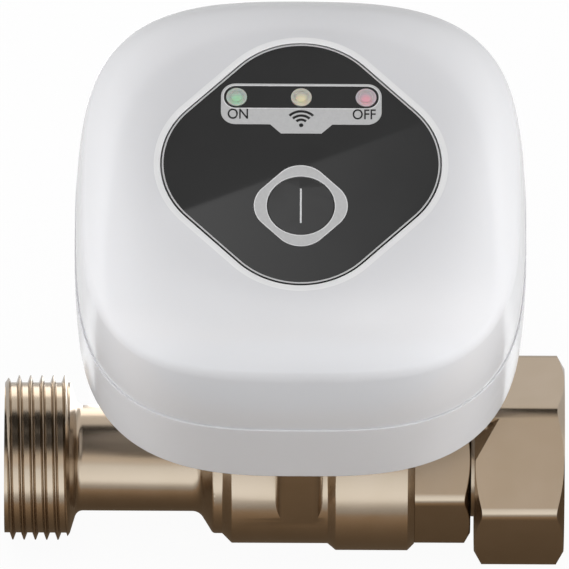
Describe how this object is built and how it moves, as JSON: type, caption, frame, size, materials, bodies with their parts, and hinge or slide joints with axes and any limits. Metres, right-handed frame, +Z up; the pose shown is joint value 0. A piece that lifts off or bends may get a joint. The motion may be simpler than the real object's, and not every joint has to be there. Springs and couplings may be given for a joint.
{
  "type": "smart water valve",
  "caption": "Motorised quarter-turn ball valve for a water pipe: brass body with an outside-threaded inlet and a loose union nut, under a domed housing with a push button and lamps.",
  "frame": {"origin": "centre of the ball, where the pipe's axis meets the stem's axis", "axes": "+X along the pipe towards the union nut, -Y the front that the button is nearest to, +Z up the stem to the panel"},
  "size_m": [0.0897, 0.0714, 0.1095],
  "materials": {
    "plated_brass": "champagne plated, satin",
    "bare_brass": "turned",
    "spring_steel": "ground",
    "screw_steel": "zinc plated",
    "chromed_ball": "polished",
    "white_seat": "waxy",
    "rubber_seal": "matt",
    "white_shell": "glossy moulded",
    "black_panel": "glossy film",
    "black_button": "glossy moulded",
    "silver_print": "printed grey",
    "white_mark": "printed",
    "lens_green": "clear tinted",
    "lens_amber": "clear tinted",
    "lens_red": "clear tinted",
    "led_clear": "clear",
    "circuit_board": "solder mask",
    "shield_can": "tinned",
    "dark_component": "moulded",
    "motor_can": "drawn can",
    "white_nylon": "moulded"
  },
  "bodies": {
    "valve_and_housing": {"valve_body": "plated_brass", "end_cap": "plated_brass", "nut_snap_ring": "spring_steel", "union_gasket": "rubber_seal", "seat_ring_inlet": "white_seat", "seat_ring_outlet": "white_seat", "stem_thrust_washer": "white_seat", "end_cap_oring": "rubber_seal", "flange_gasket": "rubber_seal", "flange_screws": "screw_steel", "base_shell": "white_shell", "top_cover": "white_shell", "housing_gasket": "rubber_seal", "case_screws": "screw_steel", "front_panel": "black_panel", "legend_plate": "silver_print", "button_ring": "silver_print", "lens_on": "lens_green", "lens_wireless": "lens_amber", "lens_off": "lens_red", "indicator_leds": "led_clear", "main_board": "circuit_board", "wireless_module": "shield_can", "board_parts": "dark_component", "tact_switch": "dark_component", "board_screws": "screw_steel", "gear_motor": "motor_can", "idler_axle": "spring_steel", "shaft_bush_lower": "bare_brass", "shaft_bush_upper": "bare_brass", "gearbox_plate": "spring_steel", "plate_screws": "screw_steel", "limit_switch_open": "dark_component", "limit_switch_closed": "dark_component", "dc_jack": "dark_component", "jack_pin": "bare_brass"},
    "drive_and_ball": {"ball": "chromed_ball", "stem": "bare_brass", "stem_orings": "rubber_seal", "output_gear": "white_nylon", "output_shaft": "spring_steel", "position_cam": "dark_component"},
    "idler": {"idler_gear": "white_nylon"},
    "pinion": {"motor_pinion": "bare_brass"},
    "button": {"power_button": "black_button", "button_mark": "white_mark", "switch_plunger": "dark_component"},
    "nut": {"union_nut": "plated_brass"}
  },
  "joints": [
    {"name": "valve_turn", "type": "hinge", "parent": "valve_and_housing", "child": "drive_and_ball", "pos_m": [0, 0, 0], "axis": [0, 0, 1], "range_deg": [0, 90]},
    {"name": "idler_spin", "type": "hinge", "parent": "valve_and_housing", "child": "idler", "pos_m": [-0.01698, 0.01698, 0.07], "axis": [0, 0, 1], "range_deg": [-360, 0]},
    {"name": "pinion_spin", "type": "hinge", "parent": "valve_and_housing", "child": "pinion", "pos_m": [-0.0214, 0.00144, 0.07], "axis": [0, 0, 1], "range_deg": [0, 1200]},
    {"name": "button_press", "type": "slide", "parent": "valve_and_housing", "child": "button", "axis": [0, 0, -1], "range_m": [0, 0.0004], "stiffness_N_per_m": 400},
    {"name": "union_nut_spin", "type": "hinge", "parent": "valve_and_housing", "child": "nut", "pos_m": [0.035, 0, 0], "axis": [1, 0, 0], "continuous": true}
  ],
  "couplings": [
    {"joint": "idler_spin", "follows": "valve_turn", "ratio": -4},
    {"joint": "pinion_spin", "follows": "valve_turn", "ratio": 13.333}
  ]
}
